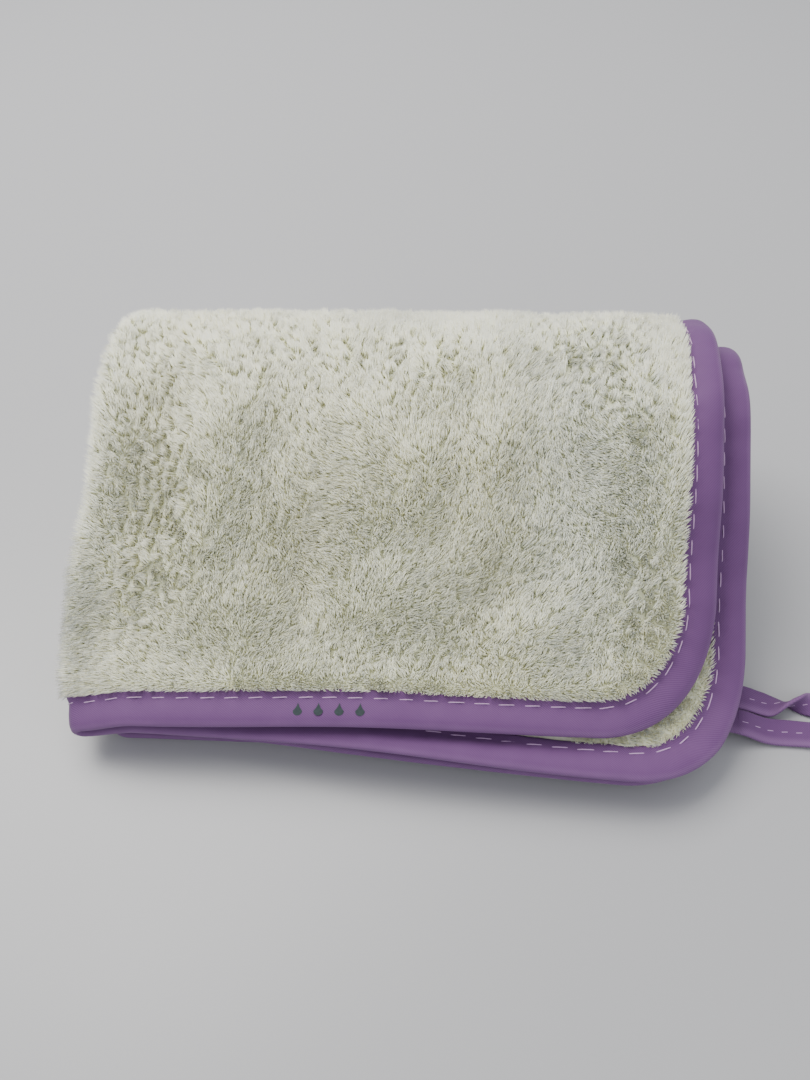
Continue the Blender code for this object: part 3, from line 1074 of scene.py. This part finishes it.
class TOWEL_OT_hanging_loop(bpy.types.Operator):
    """Lay the hanging loop at the corner and sew in its ends"""

    bl_idname = "towel.hanging_loop"
    bl_label = "Hanging loop"

    def execute(self, context):
        towel, edge = Folded(), context.scene.towel_edge
        root, out, along = loop_root(towel, edge)
        ways = np.array([out, along, (0, 0, 1)])
        knots = [root + np.array(knot) @ ways * MM for knot in LOOP_ROUTE]
        line = smooth_line(knots, 12)
        share = along_line(line) / along_line(line)[-1]
        sway, turned = 0.12 * np.sin(share * 17), ease((share - 0.795) / 0.135)
        twist = sway - math.pi * turned
        # Where the back leg turns over, the tape gathers: narrower, and lifted off the floor
        squeeze = np.where(share > 0.7, np.abs(np.sin(twist)), 0.0)
        line[:, 2] += squeeze * edge.loop_width * 0.21 + 0.1 * MM
        line -= ease((share - 0.75) / 0.2)[:, None] * along * 0.8 * MM
        width = edge.loop_width * (1 - 0.35 * squeeze)
        made, face = lay_tape("loop_tape", line, twist, width, edge.loop_tape, finish_of("binding_twill"))
        hold(made, "loop")
        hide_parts("hanging_loop")
        path = [tuple(p) for p in line[::6]] + [tuple(line[-1])]
        for word, way in (("top", 1), ("under", -1)):
            lift = face * way
            sew(f"loop_stitches_{word}", line + lift * (edge.loop_tape / 2), lift, edge.thread * 0.8,
                edge.stitch_pitch * 0.6, "loop")

        reach = edge.loop_clearance + edge.stitch_inset + 1 * MM
        ends, count = [], 24
        for word, i in (("front", 0), ("back", -1)):
            strip = np.linspace(line[i] - out * reach, line[i], count)
            end = lay_tape(f"loop_end_{word}", strip, np.zeros(count), edge.loop_width, edge.loop_tape,
                           finish_of("binding_twill"))[0]
            tuple(line[i] - out * 1.5 * MM)
            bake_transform(end)
            ends.append(end)
        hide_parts("loop_sewn_end")
        return {"FINISHED"}


# ---------------------------------------------------------------- print, cloth sizes and stage


class TOWEL_OT_print(bpy.types.Operator):
    """Print a row of small drops on the front of the binding"""

    bl_idname = "towel.print"
    bl_label = "Printed drops"

    def execute(self, context):
        towel, edge = Folded(), context.scene.towel_edge
        bpy.ops.object.select_all(action="DESELECT")
        bpy.ops.mesh.primitive_circle_add(vertices=24, radius=1, fill_type="TRIFAN")
        drop = bpy.context.object
        places = read_places(drop)
        pull = np.clip(places[:, 1], 0, 1)
        places[:, 0] *= 1 - 0.85 * pull
        places[:, 1] += 0.7 * pull**3
        write_places(drop, places)
        shape, corners = take_shape(drop)
        drops = []
        for i in range(DROPS):
            x = (FIRST_DROP + DROP_GAP * i) * MM + shape[:, 0] * DROP_SIZE
            inset = DROP_INSET + shape[:, 1] * DROP_SIZE
            across = -(x - towel.fold_x(UPPER, inset) - towel.pitch(inset) / 2 * (1 - math.pi / 2))
            here, out = towel.lie(UPPER, across, inset)
            drops.append(here + out * (edge.thickness / 2 + 0.1 * MM))
        hold(copies("printed_drops", np.array(drops), corners, finish_of("print_ink")), TURN)
        return {"FINISHED"}


class TOWEL_OT_cloth_sizes(bpy.types.Operator):
    """Clear the flat size noted on each stretch of backing"""

    bl_idname = "towel.cloth_sizes"
    bl_label = "Cloth sizes"

    def execute(self, context):
        sewn = {
            "backing_lower": ("pile_bed", "pile_floor", "tape_lower"),
            "backing_upper": ("pile_top", "pile_roof", "tape_upper"),
            "backing_fold": ("pile_back", "pile_hollow", "binding_back"),
        }
        for name, stems in sewn.items():
            sheet = bpy.data.objects[name]
            del sheet["flat"]
        return {"FINISHED"}


def soft_light(name, place, aim, size, power, shade):
    data = bpy.data.lights.new(name, "AREA")
    data.shape, data.size, data.size_y = "RECTANGLE", size[0], size[1]
    data.energy, data.color = power, shade
    made = bpy.data.objects.new(name, data)
    made.location = place
    made.rotation_euler = (Vector(aim) - Vector(place)).to_track_quat("-Z", "Y").to_euler()
    bpy.context.scene.collection.objects.link(made)


class TOWEL_OT_stage(bpy.types.Operator):
    """Set the floor, the lights and the camera"""

    bl_idname = "towel.stage"
    bl_label = "Stage"

    def execute(self, context):
        stage = context.scene.towel_stage
        bpy.ops.object.select_all(action="DESELECT")
        bpy.ops.mesh.primitive_plane_add(size=8, location=(0, 0, 0))
        floor = bpy.context.object
        floor.name = "floor"
        floor.data.materials.append(finish_of("floor_board"))
        world = bpy.data.worlds.new("room")
        world.use_nodes = True
        sky = world.node_tree.nodes["Background"]
        sky.inputs["Color"].default_value = (*stage.room, 1)
        sky.inputs["Strength"].default_value = 0.85
        context.scene.world = world
        soft_light("overhead", (-0.32, 0.34, 0.8), (0, 0, 0.02), (0.8, 0.6), stage.key, (1.0, 0.98, 0.93))
        soft_light("side", (0.7, -0.5, 0.5), (0, 0, 0.02), (0.5, 0.5), stage.fill, (0.93, 0.96, 1.0))

        data = bpy.data.cameras.new("camera")
        data.sensor_width, data.lens, data.clip_start = 36, 27.07, 0.01
        camera = bpy.data.objects.new("camera", data)
        context.scene.collection.objects.link(camera)
        yaw, pitch, roll = (math.radians(v) for v in (-3.75, 50.0, 1.86))
        look = Vector((math.sin(yaw) * math.cos(pitch), math.cos(yaw) * math.cos(pitch), -math.sin(pitch)))
        right = look.cross(Vector((0, 0, 1))).normalized()
        up = right.cross(look)
        level, tall = math.cos(roll) * right - math.sin(roll) * up, math.sin(roll) * right + math.cos(roll) * up
        pose = Matrix((level, tall, -look)).transposed().to_4x4()
        pose.translation = (0.0105, -0.1358, 0.1786)
        camera.matrix_world = pose
        context.scene.camera = camera
        return {"FINISHED"}


# ---------------------------------------------------------------- add-on


OPERATORS = (
    TOWEL_OT_backing,
    TOWEL_OT_pile,
    TOWEL_OT_binding,
    TOWEL_OT_stitching,
    TOWEL_OT_hanging_loop,
    TOWEL_OT_print,
    TOWEL_OT_cloth_sizes,
    TOWEL_OT_stage,
)


class TOWEL_PT_panel(bpy.types.Panel):
    """Lists the towel's settings and steps"""

    bl_idname = "TOWEL_PT_panel"
    bl_label = "Quick dry towel"
    bl_space_type = "VIEW_3D"
    bl_region_type = "UI"
    bl_category = "Towel"

    def draw(self, context):
        for operator in OPERATORS:
            self.layout.operator(operator.bl_idname)
        for name, group in GROUPS.items():
            box = self.layout.box()
            for prop in group.__annotations__:
                box.prop(getattr(context.scene, name), prop)


def register():
    for group in GROUPS.values():
        bpy.utils.register_class(group)
    for name, group in GROUPS.items():
        setattr(bpy.types.Scene, name, bpy.props.PointerProperty(type=group))
    for operator in OPERATORS:
        bpy.utils.register_class(operator)
    bpy.utils.register_class(TOWEL_PT_panel)


def unregister():
    bpy.utils.unregister_class(TOWEL_PT_panel)
    for operator in reversed(OPERATORS):
        bpy.utils.unregister_class(operator)
    for name in GROUPS:
        delattr(bpy.types.Scene, name)
    for group in reversed(GROUPS.values()):
        bpy.utils.unregister_class(group)


def main():
    register()
    bpy.ops.towel.backing()
    bpy.ops.towel.pile()
    bpy.ops.towel.binding()
    bpy.ops.towel.stitching()
    bpy.ops.towel.hanging_loop()
    bpy.ops.towel.print()
    bpy.ops.towel.cloth_sizes()
    bpy.ops.towel.stage()


if __name__ == "__main__":
    main()
